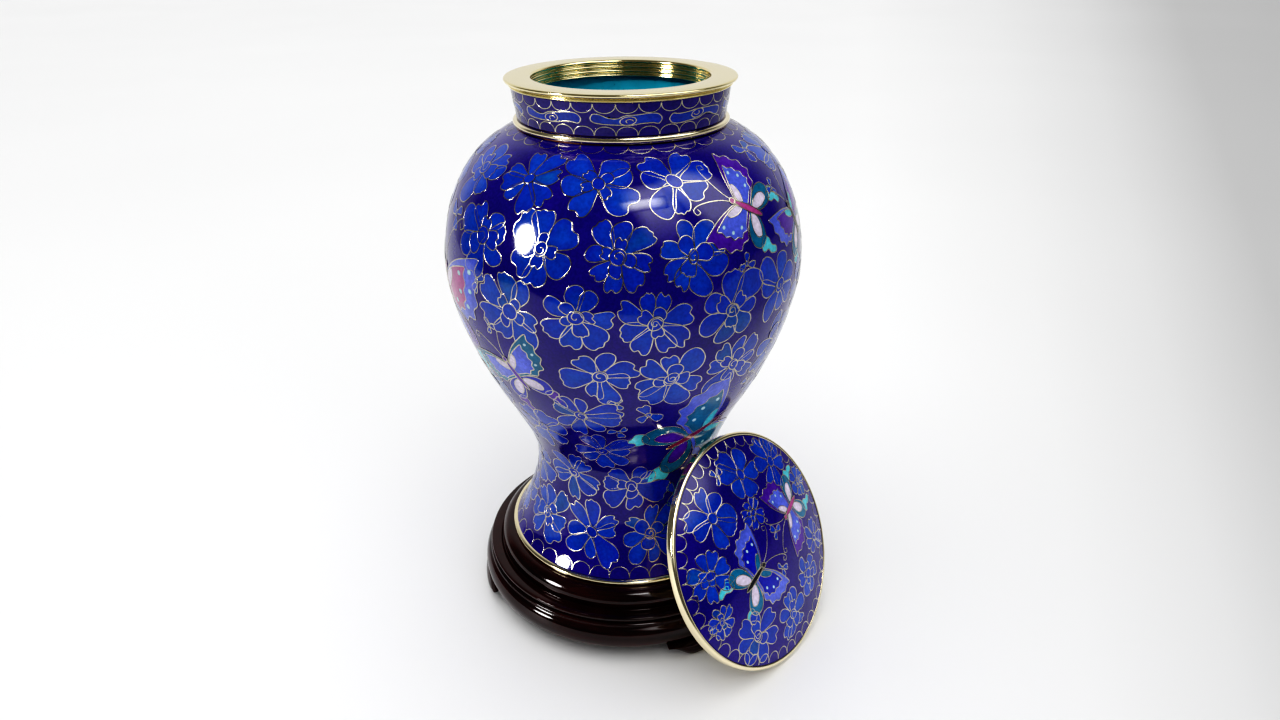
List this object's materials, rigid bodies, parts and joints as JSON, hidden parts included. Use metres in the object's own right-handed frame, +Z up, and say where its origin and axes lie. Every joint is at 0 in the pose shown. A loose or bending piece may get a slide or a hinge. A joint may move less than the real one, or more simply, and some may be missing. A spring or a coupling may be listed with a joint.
{
  "type": "lidded cloisonne vase",
  "caption": "Baluster vase in blue flower and butterfly enamel with brass rings, on a turned dark wood stand, its domed lid leaning beside it.",
  "frame": {"origin": "under the middle of the box round everything, on the table the feet stand on", "axes": "+Z up along the vase's own upright axis, -Y towards the viewer, so the lid leans at the front right (+X, -Y)"},
  "size_m": [0.1933, 0.1911, 0.277],
  "materials": {
    "rosewood": "high gloss dark lacquer",
    "panel_wood": "satin lacquer",
    "brass": "polished, pale gilt",
    "copper": "bare copper under the enamel",
    "cobalt_enamel": "polished glass enamel with thin gilt wires",
    "turquoise_enamel": "glossy counter enamel"
  },
  "bodies": {
    "stand": {"stand_moulding": "rosewood", "stand_skirt": "rosewood", "stand_panel": "panel_wood", "stand_foot_right": "rosewood", "stand_foot_back": "rosewood", "stand_foot_left": "rosewood", "foot_pin_right": "panel_wood", "foot_pin_back": "panel_wood", "foot_pin_left": "panel_wood"},
    "vase": {"foot_ring": "brass", "base_plate": "copper", "body_lower_shell": "copper", "body_upper_shell": "copper", "body_enamel": "cobalt_enamel", "lining_enamel": "turquoise_enamel", "neck_lining": "turquoise_enamel", "neck_sleeve": "copper", "neck_enamel": "cobalt_enamel", "collar_ring": "brass", "mouth_ring": "brass"},
    "lid": {"lid_dome_shell": "copper", "lid_enamel": "cobalt_enamel", "lid_lining": "turquoise_enamel", "lid_rim_band": "brass", "lid_plug_ring": "brass"}
  },
  "joints": [
    {"name": "vase_lift", "type": "slide", "parent": "stand", "child": "vase", "axis": [-0.3799, 0.3251, 0.866], "range_m": [0, 0.12]},
    {"name": "lid_lift", "type": "slide", "parent": "stand", "child": "lid", "axis": [0.6677, -0.5714, 0.4772], "range_m": [0, 0.1]}
  ]
}
